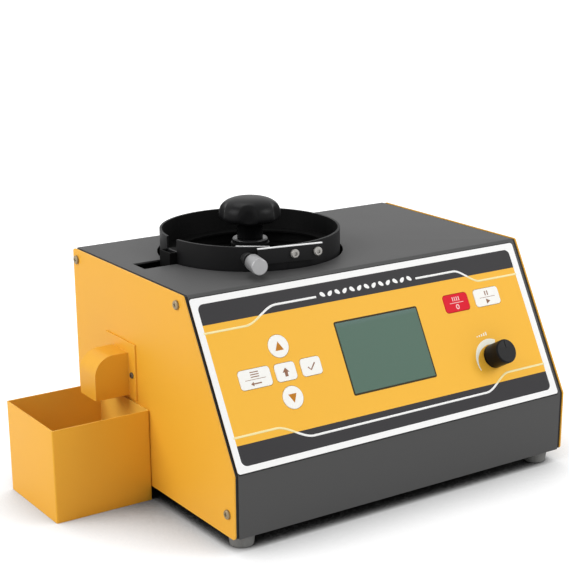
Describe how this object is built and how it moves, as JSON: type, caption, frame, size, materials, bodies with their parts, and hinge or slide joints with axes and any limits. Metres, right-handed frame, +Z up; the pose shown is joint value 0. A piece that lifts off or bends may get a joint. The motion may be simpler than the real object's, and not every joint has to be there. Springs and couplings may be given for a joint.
{
  "type": "seed counter",
  "caption": "Bench seed counter: sloped key panel with display and speed dial, vibrating feed bowl with gate on top, side outlet hood over a loose collecting box.",
  "frame": {"origin": "middle of the whole part's box, on the surface that it stands on", "axes": "+Z up, +X to the user's right along the longest side, +Y from the front to the rear"},
  "size_m": [0.4296, 0.2636, 0.2353],
  "materials": {
    "yellow_paint": "smooth satin powder coat",
    "grey_paint": "fine satin powder coat",
    "seal_black": "matt",
    "zinc_steel": "bright zinc",
    "screw_steel": "bright plated",
    "foot_rubber": "moulded, matt",
    "overlay_print": "printed film, satin",
    "key_yellow": "satin",
    "key_white": "satin",
    "key_red": "satin",
    "lcd_face": "gloss over a grey-green display",
    "black_plastic": "moulded gloss",
    "circuit_green": "solder mask",
    "shaft_steel": "turned",
    "bowl_black": "black anodised look, semi gloss",
    "nylon": "natural",
    "cast_base": "primed",
    "core_steel": "laminated steel",
    "coil_copper": "enamelled wire"
  },
  "bodies": {
    "root": {"left_side_panel": "yellow_paint", "right_side_panel": "yellow_paint", "outlet_hood": "yellow_paint", "left_edge_seal": "seal_black", "right_edge_seal": "seal_black", "top_front_cover": "grey_paint", "base_tray": "grey_paint", "rear_panel": "grey_paint", "corner_blocks": "zinc_steel", "board_standoffs": "zinc_steel", "inner_chute": "zinc_steel", "sensor_channel": "zinc_steel", "case_screws": "screw_steel", "foot_screws": "screw_steel", "hood_screws": "screw_steel", "potentiometer_nut": "screw_steel", "feet": "foot_rubber", "drive_isolators": "foot_rubber", "front_overlay": "overlay_print", "lcd_lens": "lcd_face", "lcd_module": "black_plastic", "key_switches": "black_plastic", "power_inlet": "black_plastic", "switch_frame": "black_plastic", "sensor_emitter": "black_plastic", "sensor_receiver": "black_plastic", "panel_board": "circuit_green", "control_board": "circuit_green", "speed_potentiometer": "shaft_steel", "drive_base": "cast_base", "magnet_core": "core_steel", "leaf_springs": "core_steel", "power_supply": "core_steel", "magnet_coil": "coil_copper"},
    "vibrator": {"armature": "core_steel", "bowl_carrier": "cast_base", "clamp_stud": "screw_steel", "feed_bowl": "bowl_black", "spiral_track": "bowl_black", "gate_plate": "shaft_steel", "gate_screws": "screw_steel", "gate_bush": "shaft_steel", "outlet_guide": "bowl_black"},
    "clamp_ring": {"clamp_flange": "bowl_black"},
    "clamp": {"clamp_knob": "black_plastic"},
    "gate_finger": {"gate_strip": "shaft_steel"},
    "gate_pad": {"gate_tip": "nylon"},
    "gate_screw": {"gate_thumb_screw": "shaft_steel"},
    "speed_control": {"speed_knob": "black_plastic", "potentiometer_shaft": "shaft_steel"},
    "mains_rocker": {"power_rocker": "black_plastic"},
    "seed_box": {"collecting_box": "yellow_paint"},
    "key_up": {"key_up": "key_yellow"},
    "key_down": {"key_down": "key_yellow"},
    "key_menu": {"key_menu": "key_white"},
    "key_shift": {"key_shift": "key_white"},
    "key_confirm": {"key_confirm": "key_white"},
    "key_reset": {"key_reset": "key_red"},
    "key_pause": {"key_pause": "key_white"}
  },
  "joints": [
    {"name": "bowl_vibrate", "type": "hinge", "parent": "root", "child": "vibrator", "pos_m": [-0.00245, 0.03975, 0.169], "axis": [0, 0, 1], "range_deg": [-0.6, 0.6], "stiffness_Nm_per_rad": 200},
    {"name": "clamp_lift", "type": "slide", "parent": "vibrator", "child": "clamp_ring", "axis": [0, 0, 1], "range_m": [0, 0.0025]},
    {"name": "clamp_turn", "type": "hinge", "parent": "clamp_ring", "child": "clamp", "pos_m": [-0.00245, 0.03975, 0.222], "axis": [0, 0, 1], "range_deg": [0, 720]},
    {"name": "gate_swing", "type": "hinge", "parent": "vibrator", "child": "gate_finger", "pos_m": [-0.02867, -0.03179, 0.203], "axis": [0, 0, 1], "range_deg": [-4, 2.1]},
    {"name": "gate_press", "type": "slide", "parent": "vibrator", "child": "gate_pad", "axis": [0.2419, 0.9703, 0], "range_m": [-0.00071, 0.00141]},
    {"name": "gate_turn", "type": "hinge", "parent": "gate_pad", "child": "gate_screw", "pos_m": [-0.04534, -0.0248, 0.2], "axis": [0.2419, 0.9703, 0], "range_deg": [-360, 720]},
    {"name": "speed_turn", "type": "hinge", "parent": "root", "child": "speed_control", "pos_m": [0.14795, -0.1097, 0.10383], "axis": [0, -0.8718, 0.4899], "range_deg": [-150, 150]},
    {"name": "rocker_tip", "type": "hinge", "parent": "root", "child": "mains_rocker", "pos_m": [0.12055, 0.12425, 0.05], "axis": [1, 0, 0], "range_deg": [0, 14]},
    {"name": "box_pull", "type": "slide", "parent": "root", "child": "seed_box", "axis": [-1, 0, 0], "range_m": [0, 0.12]},
    {"name": "key_up_press", "type": "slide", "parent": "root", "child": "key_up", "axis": [0, 0.8718, -0.4899], "range_m": [0, 0.0004], "stiffness_N_per_m": 800},
    {"name": "key_down_press", "type": "slide", "parent": "root", "child": "key_down", "axis": [0, 0.8718, -0.4899], "range_m": [0, 0.0004], "stiffness_N_per_m": 800},
    {"name": "key_menu_press", "type": "slide", "parent": "root", "child": "key_menu", "axis": [0, 0.8718, -0.4899], "range_m": [0, 0.0004], "stiffness_N_per_m": 800},
    {"name": "key_shift_press", "type": "slide", "parent": "root", "child": "key_shift", "axis": [0, 0.8718, -0.4899], "range_m": [0, 0.0004], "stiffness_N_per_m": 800},
    {"name": "key_confirm_press", "type": "slide", "parent": "root", "child": "key_confirm", "axis": [0, 0.8718, -0.4899], "range_m": [0, 0.0004], "stiffness_N_per_m": 800},
    {"name": "key_reset_press", "type": "slide", "parent": "root", "child": "key_reset", "axis": [0, 0.8718, -0.4899], "range_m": [0, 0.0004], "stiffness_N_per_m": 800},
    {"name": "key_pause_press", "type": "slide", "parent": "root", "child": "key_pause", "axis": [0, 0.8718, -0.4899], "range_m": [0, 0.0004], "stiffness_N_per_m": 800}
  ],
  "couplings": [
    {"joint": "clamp_lift", "follows": "clamp_turn", "m_per_rad": 0.00019894},
    {"joint": "gate_press", "follows": "gate_turn", "m_per_rad": 0.00011141},
    {"joint": "gate_swing", "follows": "gate_turn", "ratio": -0.005357}
  ]
}
